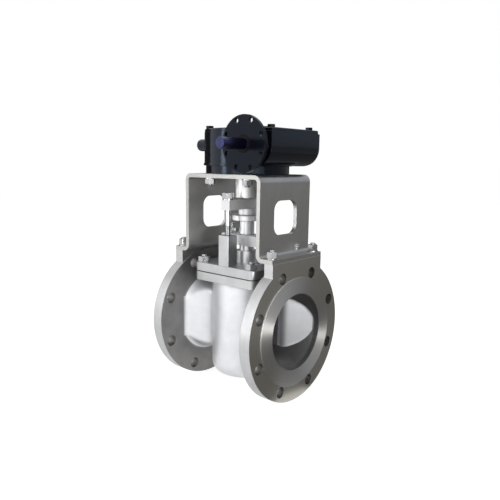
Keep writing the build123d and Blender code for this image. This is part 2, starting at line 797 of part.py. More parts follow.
def cap_screw(length):
    """Socket head screw with the underside of its head on the XY plane and its shank below."""
    with BuildPart() as screw:
        Cylinder(cap_screw_head_r, cap_screw_head_height, align=(Align.CENTER, Align.CENTER, Align.MIN))
        with BuildSketch(Plane.XY.offset(cap_screw_head_height)):
            RegularPolygon(cap_screw_socket / 2, 6, major_radius=False)
        extrude(amount=-cap_screw_head_height / 2, mode=Mode.SUBTRACT)
        Cylinder(cap_screw_r, length, align=(Align.CENTER, Align.CENTER, Align.MAX))
    return screw.part


with BuildPart() as end_cap_screws:
    with Locations(across_worm(end_cap_face)):
        with PolarLocations(end_cap_screw_circle_r, 4, start_angle=45):
            add(cap_screw(end_cap_thickness + cap_screw_reach))

# Input adapter: a flange on the housing, a neck and the drilled disc for the operator
adapter_back = tunnel_boss_end - adapter_flange_thickness
disc_back = disc_face + disc_thickness
with BuildPart() as input_adapter:
    add(turned_on_worm([(tunnel_boss_end, seal_journal_r + 1),
                        (tunnel_boss_end, adapter_flange_r),
                        (adapter_back, adapter_flange_r), (adapter_back, adapter_neck_r),
                        (disc_back, adapter_neck_r), (disc_back, disc_r), (disc_face, disc_r),
                        (disc_face, seal_r), (disc_face + seal_width, seal_r),
                        (disc_face + seal_width, seal_journal_r + 1)]))
    with BuildSketch(across_worm(disc_face)):
        with PolarLocations(disc_hole_circle_r, disc_hole_count, start_angle=180 / disc_hole_count):
            Circle(disc_hole_r)
    extrude(amount=disc_thickness, mode=Mode.SUBTRACT)
    with BuildSketch(across_worm(adapter_back)):
        with PolarLocations(adapter_screw_circle_r, 4, start_angle=45):
            Circle(cap_screw_r)
    extrude(amount=adapter_flange_thickness, mode=Mode.SUBTRACT)

facing_input = Plane((worm_x, adapter_back, worm_height), x_dir=(1, 0, 0), z_dir=(0, -1, 0))
with BuildPart() as adapter_screws:
    with Locations(facing_input):
        with PolarLocations(adapter_screw_circle_r, 4, start_angle=45):
            add(cap_screw(adapter_flange_thickness + cap_screw_reach))

with BuildPart() as shaft_seal:
    with BuildSketch(across_worm(disc_face)):
        Circle(seal_r)
        Circle(seal_journal_r + fit_gap, mode=Mode.SUBTRACT)
    extrude(amount=seal_width)

bearing_starts = (tunnel_boss_end + 2, tunnel_far - end_cap_spigot - bearing_width)
with BuildPart() as worm_bearings:
    for start in bearing_starts:
        with BuildSketch(across_worm(start)):
            Circle(tunnel_bore_r)
            Circle(bearing_r + fit_gap, mode=Mode.SUBTRACT)
        extrude(amount=bearing_width)

# Worm: one right-hand thread on the input shaft
thread_length = thread_turns * lead
half_thread = lead / 4 - backlash / 4


def thread_half_width(radius):
    """Half the worm thread's axial width at a radius."""
    return half_thread - (radius - worm_pitch_r) * tan(radians(pressure_angle))


with BuildPart() as worm_thread:
    root, tip = worm_root_r - 0.5, worm_pitch_r + gear_module
    with BuildLine() as helix:
        Helix(lead, thread_length, worm_pitch_r)
    with BuildSketch(Plane.XZ):
        with BuildLine():
            Polyline((root, -thread_half_width(root)), (tip, -thread_half_width(tip)),
                     (tip, thread_half_width(tip)), (root, thread_half_width(root)), close=True)
        make_face()
    sweep(path=helix.line, is_frenet=True)

near_shoulder = bearing_starts[0] + bearing_width
far_shoulder = bearing_starts[1]
with BuildPart() as worm_shaft:
    add(turned_on_worm([(input_end, 0), (input_end, input_r - 1), (input_end + 1, input_r),
                        (disc_face, input_r), (disc_face, seal_journal_r),
                        (bearing_starts[0], seal_journal_r), (bearing_starts[0], bearing_r),
                        (near_shoulder, bearing_r), (near_shoulder, shoulder_r),
                        (-thread_length / 2 - 3, shoulder_r), (-thread_length / 2 - 3, worm_root_r),
                        (thread_length / 2 + 3, worm_root_r), (thread_length / 2 + 3, shoulder_r),
                        (far_shoulder, shoulder_r), (far_shoulder, bearing_r),
                        (far_shoulder + bearing_width, bearing_r), (far_shoulder + bearing_width, 0)]))
    with Locations(across_worm(-thread_length / 2)):
        add(worm_thread.part)
    with BuildSketch(Plane((worm_x, input_end + keyway_end, worm_height + input_r))):
        with Locations((0, keyway_length / 2)):
            SlotOverall(keyway_length, keyway_width, rotation=90)
    extrude(amount=-keyway_depth, mode=Mode.SUBTRACT)


def tooth_half_angle(radius):
    """Half the angle that a wheel tooth takes at a radius, in radians."""
    def roll(angle):
        return tan(angle) - angle
    base_r = wheel_pitch_r * cos(radians(pressure_angle))
    width = pi / (2 * wheel_teeth) - backlash / 4 / wheel_pitch_r
    return width + roll(radians(pressure_angle)) - roll(acos(min(1, base_r / radius)))


def wheel_tooth(angle):
    """One wheel tooth about the stem, leaning with the worm's thread over the face width."""
    lean = wheel_face_width / 2 * lead / (2 * pi * worm_pitch_r) / wheel_pitch_r
    radii = (wheel_root_r - 1, wheel_pitch_r, wheel_pitch_r + gear_module)
    with BuildPart() as tooth:
        for side in (-1, 1):
            with BuildSketch(level(worm_height + side * wheel_face_width / 2)):
                middle = radians(angle) + side * lean
                left = [(r, middle + tooth_half_angle(r)) for r in radii]
                right = [(r, middle - tooth_half_angle(r)) for r in reversed(radii)]
                with BuildLine():
                    Polyline(*[(r * cos(a), r * sin(a)) for r, a in left + right], close=True)
                make_face()
        loft(ruled=True)
    return tooth.part


# Worm wheel: a hub with a toothed sector wide enough for the quarter turn
tooth_pitch = 360 / wheel_teeth
first_tooth = int(sector_start / tooth_pitch) + 1
last_tooth = int(sector_end / tooth_pitch)
sector_sweep = sector_end - sector_start
with BuildPart() as worm_wheel:
    with BuildSketch(level(worm_height - wheel_face_width / 2)):
        with BuildLine():
            start = (wheel_root_r * cos(radians(sector_start)), wheel_root_r * sin(radians(sector_start)))
            CenterArc((0, 0), wheel_root_r, sector_start, sector_sweep)
            Line((wheel_root_r * cos(radians(sector_end)), wheel_root_r * sin(radians(sector_end))), (0, 0))
            Line((0, 0), start)
        make_face()
    extrude(amount=wheel_face_width)
    for number in range(first_tooth + 1, last_tooth):
        add(wheel_tooth(number * tooth_pitch))
    add(turned_on_stem([(0, base_top - base_thickness / 2 + running_gap),
                        (journal_r, base_top - base_thickness / 2 + running_gap),
                        (journal_r, floor_top + running_gap), (hub_r, floor_top + running_gap),
                        (hub_r, drum_top - running_gap), (top_journal_r, drum_top - running_gap),
                        (top_journal_r, cover_top - running_gap), (0, cover_top - running_gap)]))
    with Locations(level(cover_top)):
        Hole(shaft_r)
    add(key(shaft_r, drive_key_height, drive_key_width, base_bottom, cover_top), mode=Mode.SUBTRACT)

# Coupling between the stem and the wheel, with its two keys
with BuildPart() as coupling:
    add(turned_on_stem([(0, coupling_bottom), (coupling_r - coupling_edge, coupling_bottom),
                        (coupling_r, coupling_bottom + coupling_edge), (coupling_r, coupling_top),
                        (shaft_r, coupling_top), (shaft_r, shaft_top - 1), (shaft_r - 1, shaft_top),
                        (0, shaft_top)]))
    with Locations(level(coupling_bottom)):
        Cylinder(stem_neck_r, stem_top + 1 - coupling_bottom, mode=Mode.SUBTRACT,
                 align=(Align.CENTER, Align.CENTER, Align.MIN))
    add(coupling_key_bar, mode=Mode.SUBTRACT)
    add(drive_key_bar, mode=Mode.SUBTRACT)

with BuildPart() as stem_key:
    add(coupling_key_bar)

with BuildPart() as drive_key:
    add(drive_key_bar)

# Position indicator on top of the wheel
with BuildPart() as indicator:
    with BuildSketch(level(cover_top + running_gap)):
        Circle(indicator_r)
    extrude(amount=indicator_height)
    chamfer(indicator.edges().group_by(Axis.Z)[-1], 1.2)
    with BuildSketch(level(cover_top + running_gap + indicator_height)):
        Rectangle(1.6 * indicator_r, 3)
    extrude(amount=-1, mode=Mode.SUBTRACT)
    with BuildSketch(level(shaft_top)):
        Circle(shaft_r)
    extrude(amount=cover_top + running_gap - shaft_top)

# Stop screws that limit the sector, each under a round cap
end_angle = radians(-sector_start)
stop_screw_end = stop_cap_length - stop_cap_wall - running_gap
tip_centre_x = (stop_screw_r + running_gap - stop_y * cos(end_angle)) / sin(end_angle)
with BuildPart() as stop_screws:
    with Locations(*stop_places(tip_centre_x)):
        Cylinder(stop_screw_r, stop_boss_x - tip_centre_x + stop_screw_end,
                 align=(Align.CENTER, Align.CENTER, Align.MIN))
        Sphere(stop_screw_r)

with BuildPart() as stop_caps:
    with Locations(*stop_places(stop_boss_x)):
        Cylinder(stop_cap_r, stop_cap_length, align=(Align.CENTER, Align.CENTER, Align.MIN))
        Cylinder(stop_screw_r, stop_cap_length - stop_cap_wall, mode=Mode.SUBTRACT,
                 align=(Align.CENTER, Align.CENTER, Align.MIN))
    fillet(stop_caps.edges().group_by(Axis.X)[0], 2)

with BuildPart() as vent_plug:
    with Locations(level(cover_top) * Pos(vent_x, vent_y)):
        Cylinder(vent_r, vent_height, align=(Align.CENTER, Align.CENTER, Align.MIN))
        add(hex_nut(vent_head_across_flats, vent_head_height, 0))

# Every finished piece, under the name of its node
pieces = {
    "valve_body": valve_body, "plug_sleeve": plug_sleeve, "plug": plug, "bonnet": bonnet,
    "bonnet_gasket": bonnet_gasket, "diaphragm": diaphragm, "packing_rings": packing_rings,
    "gland_follower": gland_follower, "gland_flange": gland_flange, "gland_studs": gland_studs,
    "gland_nuts": gland_nuts, "thrust_collar": thrust_collar, "collar_key": collar_key,
    "thrust_washer": thrust_washer, "bridge_bar": bridge_bar, "yoke_studs": yoke_studs,
    "yoke_washers": yoke_washers, "yoke_nuts": yoke_nuts, "bonnet_studs": bonnet_studs,
    "bonnet_nuts": bonnet_nuts, "foot_studs": foot_studs, "foot_washers": foot_washers,
    "foot_nuts": foot_nuts, "bracket": bracket, "gearbox_studs": gearbox_studs,
    "gearbox_washers": gearbox_washers, "gearbox_nuts": gearbox_nuts, "gearbox_base": gearbox_base,
    "base_screws": base_screws, "gearbox_housing": gearbox_housing, "gearbox_cover": gearbox_cover,
    "cover_bolts": cover_bolts, "worm_end_cap": worm_end_cap, "end_cap_screws": end_cap_screws,
    "input_adapter": input_adapter, "adapter_screws": adapter_screws, "shaft_seal": shaft_seal,
    "worm_bearings": worm_bearings, "worm_shaft": worm_shaft, "worm_wheel": worm_wheel,
    "coupling": coupling, "stem_key": stem_key, "drive_key": drive_key, "indicator": indicator,
    "stop_screws": stop_screws, "stop_caps": stop_caps, "vent_plug": vent_plug,
}

os.makedirs("parts", exist_ok=True)
for label, piece in pieces.items():
    piece.part.label = label
    export_step(piece.part, f"parts/{label}.step")
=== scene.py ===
"""Dresses, lights and frames a gear-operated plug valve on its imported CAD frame.

Lengths are metres in the row frame: X runs along the flow, Z up along the stem, and the worm
lies along Y. Azimuth 0 looks along +Y and 90 along -X.
"""

import logging
import math
from dataclasses import dataclass, field
from enum import Enum
from typing import Any

import bpy
from mathutils import Matrix, Vector


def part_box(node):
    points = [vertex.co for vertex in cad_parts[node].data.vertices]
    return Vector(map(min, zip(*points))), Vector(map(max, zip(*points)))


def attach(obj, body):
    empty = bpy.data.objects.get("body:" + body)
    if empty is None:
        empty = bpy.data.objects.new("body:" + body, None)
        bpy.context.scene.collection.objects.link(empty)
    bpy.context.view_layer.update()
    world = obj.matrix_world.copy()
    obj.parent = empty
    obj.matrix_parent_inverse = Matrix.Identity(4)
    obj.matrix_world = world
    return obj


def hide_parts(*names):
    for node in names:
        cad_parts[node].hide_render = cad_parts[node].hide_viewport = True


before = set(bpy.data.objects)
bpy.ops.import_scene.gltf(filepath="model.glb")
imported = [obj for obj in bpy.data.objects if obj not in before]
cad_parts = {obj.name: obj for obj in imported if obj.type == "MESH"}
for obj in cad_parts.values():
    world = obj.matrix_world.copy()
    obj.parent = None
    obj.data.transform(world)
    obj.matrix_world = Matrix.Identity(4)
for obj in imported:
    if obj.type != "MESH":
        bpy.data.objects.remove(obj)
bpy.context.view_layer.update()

log = logging.getLogger("plug_valve")

Point = tuple[float, float, float]

STEM_X = 0.1319
WORM_X = 0.2059
WORM_Z = 0.3590
MM = 0.001
FULL_TURN = 2 * math.pi


def linear(hex_colour: str) -> tuple[float, float, float, float]:
    """Turns an sRGB hex colour into linear values.

    Args:
        hex_colour: Six hexadecimal digits.
    Returns:
        Linear red, green and blue, and an alpha of 1.
    """
    values = [int(hex_colour[i:i + 2], 16) / 255 for i in (0, 2, 4)]
    return tuple(v / 12.92 if v <= 0.04045 else ((v + 0.055) / 1.055) ** 2.4 for v in values) + (1.0,)


def add_node(tree: bpy.types.NodeTree, kind: str, settings: dict[Any, Any] | None = None,
             links: dict[Any, bpy.types.NodeSocket] | None = None) -> bpy.types.Node:
    """Adds one node with its settings and its incoming links.

    Args:
        tree: Node tree that gets the node.
        kind: Blender's type name of the node.
        settings: Node properties by name, and input values by input name or number.
        links: Output sockets by the input name or number that they feed.
    Returns:
        The new node.
    """
    node = tree.nodes.new(kind)
    for name, value in (settings or {}).items():
        if isinstance(name, str) and hasattr(node, name):
            setattr(node, name, value)
        else:
            node.inputs[name].default_value = value
    for name, socket in (links or {}).items():
        tree.links.new(socket, node.inputs[name])
    return node


def direction(azimuth: float, elevation: float = 0.0) -> Vector:
    """Gives the unit vector from the object towards an azimuth and elevation in degrees.

    Args:
        azimuth: Degrees from -Y towards +X.
        elevation: Degrees above the horizon.
    Returns:
        The unit vector.
    """
    turn, rise = math.radians(azimuth), math.radians(elevation)
    return Vector((math.sin(turn) * math.cos(rise), -math.cos(turn) * math.cos(rise), math.sin(rise)))


class Turning(Enum):
    """Axis that a turned surface was cut about: the flow, the stem or the worm."""

    FLOW = "flow"
    STEM = "stem"
    WORM = "worm"

    @property
    def centre(self) -> Point:
        """A point on the axis."""
        return {"flow": (0.0, 0.0, 0.0), "stem": (STEM_X, 0.0, 0.0),
                "worm": (WORM_X, 0.0, WORM_Z)}[self.value]

    @property
    def axis(self) -> Point:
        """The axis as a unit vector."""
        return {"flow": (1.0, 0.0, 0.0), "stem": (0.0, 0.0, 1.0),
                "worm": (0.0, 1.0, 0.0)}[self.value]


@dataclass(frozen=True)
class Finish:
    """Base of every finish: one Principled surface whose detail a subclass adds.

    Attributes:
        name: Material name, real material and process.
        colour: sRGB hex colour of the surface.
        roughness: Mean roughness.
        metallic: 1 for a metal, 0 for anything else.
        edge: Radius in metres that real edges are broken to, drawn in the shading.
    """

    name: str
    colour: str
    roughness: float
    metallic: float = 1.0
    edge: float = 0.0006

    def build(self) -> bpy.types.Material:
        """Makes the material.

        Returns:
            The finished material.
        """
        material = bpy.data.materials.new(self.name)
        material.use_nodes = True
        tree = material.node_tree
        tree.nodes.clear()
        surface = add_node(tree, "ShaderNodeBsdfPrincipled", {
            "Base Color": linear(self.colour), "Roughness": self.roughness, "Metallic": self.metallic})
        add_node(tree, "ShaderNodeOutputMaterial", {}, {"Surface": surface.outputs["BSDF"]})
        places = add_node(tree, "ShaderNodeTexCoord").outputs["Object"]
        soft = add_node(tree, "ShaderNodeBevel", {"samples": 4, "Radius": self.edge}).outputs["Normal"]
        self.detail(tree, surface, places, soft)
        return material

    def detail(self, tree: bpy.types.NodeTree, surface: bpy.types.Node, places: bpy.types.NodeSocket,
               soft: bpy.types.NodeSocket) -> None:
        """Adds the finish's own texture, here only the broken edges.

        Args:
            tree: The material's tree.
            surface: The Principled node.
            places: Object coordinates, not used here.
            soft: Normal with broken edges.
        """
        tree.links.new(soft, surface.inputs["Normal"])


@dataclass(frozen=True)
class BlastedStainless(Finish):
    """Stainless steel, cast or rolled, blasted with glass beads: a soft even sheen with a fine grain.

    Attributes:
        second_colour: Hex colour of the slightly duller patches.
        patch: Size of those patches in metres.
        grain: Size of the blast dimples, drawn three to four times as coarse as the real 0.3 mm
            to show.
        dimple: Depth of the dimples in metres.
        wander: How far roughness strays from its mean, each way.
    """

    second_colour: str = "B5B4AF"
    patch: float = 0.030
    grain: float = 0.0012
    dimple: float = 0.00006
    wander: float = 0.05

    def detail(self, tree: bpy.types.NodeTree, surface: bpy.types.Node, places: bpy.types.NodeSocket,
               soft: bpy.types.NodeSocket) -> None:
        """Adds dull patches and the blast grain.

        Args:
            tree: The material's tree.
            surface: The Principled node.
            places: Object coordinates.
            soft: Normal with broken edges.
        """
        patches = add_node(tree, "ShaderNodeTexNoise", {
            "Scale": 1 / self.patch, "Detail": 5.0, "Roughness": 0.6}, {"Vector": places}).outputs["Fac"]
        spread = add_node(tree, "ShaderNodeMapRange", {"From Min": 0.35, "From Max": 0.65},
                          {"Value": patches}).outputs["Result"]
        shade = add_node(tree, "ShaderNodeMixRGB", {
            "Color1": linear(self.colour), "Color2": linear(self.second_colour)}, {"Fac": spread})
        tree.links.new(shade.outputs["Color"], surface.inputs["Base Color"])
        rough = add_node(tree, "ShaderNodeMapRange", {
            "To Min": self.roughness - self.wander, "To Max": self.roughness + self.wander},
            {"Value": spread})
        tree.links.new(rough.outputs["Result"], surface.inputs["Roughness"])
        grain = add_node(tree, "ShaderNodeTexNoise", {"Scale": 1 / self.grain, "Detail": 2.0},
                         {"Vector": places}).outputs["Fac"]
        bump = add_node(tree, "ShaderNodeBump", {"Strength": 0.5, "Distance": self.dimple},
                        {"Height": grain, "Normal": soft})
        tree.links.new(bump.outputs["Normal"], surface.inputs["Normal"])


@dataclass(frozen=True)
class TurnedStainless(Finish):
    """Stainless steel faced in a lathe: fine rings that draw the light out into fans.

    Attributes:
        turning: Axis that the face was turned about.
        feed: Spacing of the tool marks in metres.
        mark: Depth of the tool marks in metres.
        anisotropy: How far the rings stretch a highlight.
        rotation: Turn of that stretch as a share of a circle, a quarter to lie across the rings.
        band: Width of the faint bands of shade in metres.
        stain: Hex colour of the faint stains in the rings.
    """

    turning: Turning = Turning.FLOW
    feed: float = 0.0008
    mark: float = 0.00003
    anisotropy: float = 0.75
    rotation: float = 0.25
    band: float = 1 / 350
    stain: str = "9D9890"

    def detail(self, tree: bpy.types.NodeTree, surface: bpy.types.Node, places: bpy.types.NodeSocket,
               soft: bpy.types.NodeSocket) -> None:
        """Adds the rings, their bands of shade and the tangent that follows them.

        Args:
            tree: The material's tree.
            surface: The Principled node.
            places: Object coordinates.
            soft: Normal with broken edges.
        """
        arm = add_node(tree, "ShaderNodeVectorMath", {
            "operation": "SUBTRACT", 1: self.turning.centre}, {0: places})
        along = add_node(tree, "ShaderNodeVectorMath", {
            "operation": "CROSS_PRODUCT", 0: self.turning.axis}, {1: arm.outputs[0]})
        way = add_node(tree, "ShaderNodeVectorMath", {"operation": "NORMALIZE"}, {0: along.outputs[0]})
        tree.links.new(way.outputs[0], surface.inputs["Tangent"])
        surface.inputs["Anisotropic"].default_value = self.anisotropy
        surface.inputs["Anisotropic Rotation"].default_value = self.rotation
        radius = add_node(tree, "ShaderNodeVectorMath", {"operation": "LENGTH"},
                          {0: along.outputs[0]}).outputs["Value"]
        bands = add_node(tree, "ShaderNodeTexNoise", {
            "noise_dimensions": "1D", "Scale": 1 / self.band, "Detail": 4.0}, {"W": radius}).outputs["Fac"]
        shade = add_node(tree, "ShaderNodeMixRGB", {
            "Color1": linear(self.colour), "Color2": linear(self.stain)}, {"Fac": bands})
        tree.links.new(shade.outputs["Color"], surface.inputs["Base Color"])
        rough = add_node(tree, "ShaderNodeMapRange", {
            "From Min": 0.3, "From Max": 0.7,
            "To Min": self.roughness * 0.95, "To Max": self.roughness * 1.05}, {"Value": bands})
        tree.links.new(rough.outputs["Result"], surface.inputs["Roughness"])
        turns = add_node(tree, "ShaderNodeMath", {
            "operation": "MULTIPLY", 1: FULL_TURN / self.feed}, {0: radius})
        rings = add_node(tree, "ShaderNodeMath", {"operation": "SINE"}, {0: turns.outputs[0]})
        bump = add_node(tree, "ShaderNodeBump", {"Strength": 0.2, "Distance": self.mark},
                        {"Height": rings.outputs[0], "Normal": soft})
        tree.links.new(bump.outputs["Normal"], surface.inputs["Normal"])


@dataclass(frozen=True)
class MilledSteel(Finish):
    """Bar or forging milled and left bright: long fine scratches one way and small stains.

    Attributes:
        second_colour: Hex colour between the scratches.
        scratch: Width of a scratch in metres.
        depth: Depth of a scratch in metres.
        stretch: How many times longer than wide the scratches are, along X.
    """

    second_colour: str = "AAA9A6"
    scratch: float = 0.0004
    depth: float = 0.00002
    stretch: float = 25.0

    def detail(self, tree: bpy.types.NodeTree, surface: bpy.types.Node, places: bpy.types.NodeSocket,
               soft: bpy.types.NodeSocket) -> None:
        """Adds the scratches.

        Args:
            tree: The material's tree.
            surface: The Principled node.
            places: Object coordinates.
            soft: Normal with broken edges.
        """
        drawn = add_node(tree, "ShaderNodeMapping", {
            "Scale": (1 / self.stretch, 1.0, 1.0)}, {"Vector": places})
        lines = add_node(tree, "ShaderNodeTexNoise", {"Scale": 1 / self.scratch, "Detail": 3.0},
                         {"Vector": drawn.outputs["Vector"]}).outputs["Fac"]
        shade = add_node(tree, "ShaderNodeMixRGB", {
            "Color1": linear(self.colour), "Color2": linear(self.second_colour)}, {"Fac": lines})
        tree.links.new(shade.outputs["Color"], surface.inputs["Base Color"])
        bump = add_node(tree, "ShaderNodeBump", {"Strength": 0.5, "Distance": self.depth},
                        {"Height": lines, "Normal": soft})
        tree.links.new(bump.outputs["Normal"], surface.inputs["Normal"])


@dataclass(frozen=True)
class BrushedEnamel(Finish):
    """Black alkyd enamel brushed over cast iron: glossy, with the sand casting's swell under it.

    Attributes:
        swell: Size of the casting's swell in metres.
        height: Height of that swell in metres.
        drag: Width of the brush drag in metres.
        sheen: Strength of the reflection, where 0.5 is plain glass.
        tint: Hex colour of the reflection, which old enamel turns blue.
        dust: Hex colour of the thin dust on faces that look up.
    """

    swell: float = 0.006
    height: float = 0.00018
    drag: float = 1 / 90
    sheen: float = 0.25
    # tint: Hex colour laid on the reflection, a painted blue in the reflection.
    tint: str = "B9CCE8"
    dust: str = "1E1F22"

    def detail(self, tree: bpy.types.NodeTree, surface: bpy.types.Node, places: bpy.types.NodeSocket,
               soft: bpy.types.NodeSocket) -> None:
        """Adds the swell of the casting, brush drag in the gloss, and dust on top.

        Args:
            tree: The material's tree.
            surface: The Principled node.
            places: Object coordinates.
            soft: Normal with broken edges.
        """
        surface.inputs["Specular IOR Level"].default_value = self.sheen
        # Painted blue reflection: the tint colours what the enamel mirrors
        surface.inputs["Specular Tint"].default_value = linear(self.tint)
        swell = add_node(tree, "ShaderNodeTexNoise", {"Scale": 1 / self.swell, "Detail": 3.0},
                         {"Vector": places}).outputs["Fac"]
        bump = add_node(tree, "ShaderNodeBump", {"Strength": 0.6, "Distance": self.height},
                        {"Height": swell, "Normal": soft})
        tree.links.new(bump.outputs["Normal"], surface.inputs["Normal"])
        drag = add_node(tree, "ShaderNodeTexNoise", {"Scale": 1 / self.drag, "Detail": 4.0},
                        {"Vector": places}).outputs["Fac"]
        rough = add_node(tree, "ShaderNodeMapRange", {
            "To Min": self.roughness * 0.75, "To Max": self.roughness * 1.35}, {"Value": drag})
        tree.links.new(rough.outputs["Result"], surface.inputs["Roughness"])
        facing = add_node(tree, "ShaderNodeTexCoord").outputs["Normal"]
        upward = add_node(tree, "ShaderNodeSeparateXYZ", {}, {0: facing}).outputs["Z"]
        laid = add_node(tree, "ShaderNodeMath", {"operation": "MULTIPLY", "use_clamp": True},
                        {0: upward, 1: drag})
        shade = add_node(tree, "ShaderNodeMixRGB", {
            "Color1": linear(self.colour), "Color2": linear(self.dust)}, {"Fac": laid.outputs[0]})
        tree.links.new(shade.outputs["Color"], surface.inputs["Base Color"])


@dataclass(frozen=True)
class MouldedSolid(Finish):
    """Moulded plastic, rubber or graphite: one colour through and through, with a fine tooth.

    Attributes:
        tooth: Size of the surface's tooth in metres.
        depth: Depth of the tooth in metres.
        sheen: Strength of the reflection, where 0.5 is plain glass.
    """

    tooth: float = 0.0010
    depth: float = 0.00004
    sheen: float = 0.5

    def detail(self, tree: bpy.types.NodeTree, surface: bpy.types.Node, places: bpy.types.NodeSocket,
               soft: bpy.types.NodeSocket) -> None:
        """Adds the tooth.

        Args:
            tree: The material's tree.
            surface: The Principled node.
            places: Object coordinates.
            soft: Normal with broken edges.
        """
        surface.inputs["Specular IOR Level"].default_value = self.sheen
        tooth = add_node(tree, "ShaderNodeTexNoise", {"Scale": 1 / self.tooth, "Detail": 2.0},
                         {"Vector": places}).outputs["Fac"]
        bump = add_node(tree, "ShaderNodeBump", {"Strength": 0.5, "Distance": self.depth},
                        {"Height": tooth, "Normal": soft})
        tree.links.new(bump.outputs["Normal"], surface.inputs["Normal"])


@dataclass
class Finishes:
    """Every finish on the valve, each made once."""

    # Blasted stainless castings: even, light and slightly cool, a soft sheen with no clear reflection
    casting: BlastedStainless = BlastedStainless("cast_stainless_bead_blasted", "C8C9CA", 0.44,
                                                 second_colour="BEBEBF", wander=0.02, edge=0.0012)
    bonnet: BlastedStainless = BlastedStainless("cast_bonnet_bead_blasted", "C2C3C5", 0.40,
                                                second_colour="B7B8BA", wander=0.02, edge=0.0010)
    # The same casting where big fillets join the barrel and its passages, drawn lighter than the rest of the
    # casting: painted light on the barrel and passages
    casting_body: BlastedStainless = BlastedStainless("cast_stainless_body_painted_light", "E6E7EA", 0.47,
                                                      second_colour="DEDFE2", wander=0.02, edge=0.0140)
    # The backs of the flanges are drawn darker than the casting: painted shade on the faces turned away from
    # the light
    flange_back: BlastedStainless = BlastedStainless("stainless_flange_back_painted_shade", "969493", 0.48,
                                                     second_colour="8B8988", wander=0.02, edge=0.0015)
    # Inside the bore the casting is drawn dark: painted shade where little light reaches. Drilled holes are
    # drawn darker than the outside and keep their drill marks
    bore: BlastedStainless = BlastedStainless("cast_stainless_bore_painted_shade", "7A7979", 0.50,
                                              second_colour="6E6D6C", wander=0.03, edge=0.0020)
    # The upright sides where the passage widens keep about the outside casting's tone, without that painted
    # shade
    bore_side: BlastedStainless = BlastedStainless("cast_stainless_bore_side_blasted", "C4C5C8", 0.46,
                                                   second_colour="BBBCBF", wander=0.03, edge=0.0100)
    drilled: BlastedStainless = BlastedStainless("stainless_drilled_hole", "8A8987", 0.45,
                                                 second_colour="75736F", patch=0.006, wander=0.05)
    plug: BlastedStainless = BlastedStainless("stainless_plug_ground", "BEBEC3", 0.50,
                                              second_colour="B6B6BB", wander=0.02)
    # Rolled plate keeps a little of its mill sheen under the blasting
    plate: BlastedStainless = BlastedStainless("stainless_plate_bead_blasted", "BFBFBD", 0.36,
                                               second_colour="B5B4B1", wander=0.03, patch=0.045,
                                               grain=0.0009)
    # Flange faces are turned, so their rings draw bright fans across a darker face
    flange_face: TurnedStainless = TurnedStainless("stainless_turned_flange_face", "C9C6C0", 0.34,
                                                   mark=0.000004, anisotropy=0.6, stain="C0BCB4")
    raised_face: TurnedStainless = TurnedStainless("stainless_turned_raised_face", "DEDDDC", 0.44,
                                                   feed=0.0010, anisotropy=0.95, mark=0.000004,
                                                   stain="CCCAC6")
    stem_turned: TurnedStainless = TurnedStainless("stainless_turned_about_stem", "F2F2F3", 0.44,
                                                   turning=Turning.STEM, anisotropy=0.5,
                                                   mark=0.000004, stain="E4E4E5")
    milled: MilledSteel = MilledSteel("stainless_bar_milled", "E6E6E7", 0.70, second_colour="DADADB")
    # Polished stainless fasteners are nearly mirrors
    fastener: MilledSteel = MilledSteel("stainless_fastener_polished", "C6C6C8", 0.11,
                                        second_colour="B0B0B3", edge=0.0005)
    bronze: TurnedStainless = TurnedStainless("aluminium_bronze_turned", "C9A262", 0.25,
                                              turning=Turning.STEM, stain="A27E45")
    enamel: BrushedEnamel = BrushedEnamel("black_enamel_on_cast_iron", "0B0C10", 0.13,
                                          metallic=0.0, edge=0.0012, sheen=0.5)
    disc_enamel: BrushedEnamel = BrushedEnamel("black_enamel_on_turned_disc", "0B0C11", 0.16,
                                               metallic=0.0, edge=0.0008, height=0.00008)
    blacked: MilledSteel = MilledSteel("steel_screw_oil_blacked", "5A5A5E", 0.30, second_colour="3C3C40")
    # Ground steel under protective oil: dark like the steel, and blue from a painted reflection of blue sky
    shaft: TurnedStainless = TurnedStainless("shaft_steel_ground_oiled", "43466A", 0.22,
                                             turning=Turning.WORM, stain="3E4060", anisotropy=0.4)
    key: MilledSteel = MilledSteel("key_steel_drawn", "A6A6A8", 0.30)
    fluoropolymer: MouldedSolid = MouldedSolid("fluoropolymer_moulded", "E9E8E2", 0.38, metallic=0.0)
    graphite: MouldedSolid = MouldedSolid("graphite_pressed", "2A2A2C", 0.45, metallic=0.0)
    rubber: MouldedSolid = MouldedSolid("nitrile_rubber_moulded", "0C0C0E", 0.60, metallic=0.0,
                                        sheen=0.12)
    acetal: MouldedSolid = MouldedSolid("acetal_indicator_moulded", "D8AF22", 0.35, metallic=0.0)
    made: dict[str, bpy.types.Material] = field(default_factory=dict)

    def get(self, name: str) -> bpy.types.Material:
        """Gives a finish's material, made on first use.

        Args:
            name: Name of the finish in this class.
        Returns:
            The material.
        """
        if name not in self.made:
            self.made[name] = getattr(self, name).build()
        return self.made[name]

    def dress(self, nodes: dict[str, tuple[str, ...]]) -> None:
        """Puts finishes on CAD nodes.

        Args:
            nodes: Node names by the name of their finish.
        """
        for name, members in nodes.items():
            for node in members:
                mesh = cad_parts[node].data
                mesh.materials.clear()
                mesh.materials.append(self.get(name))
                log.info("%s has %s", node, self.get(name).name)


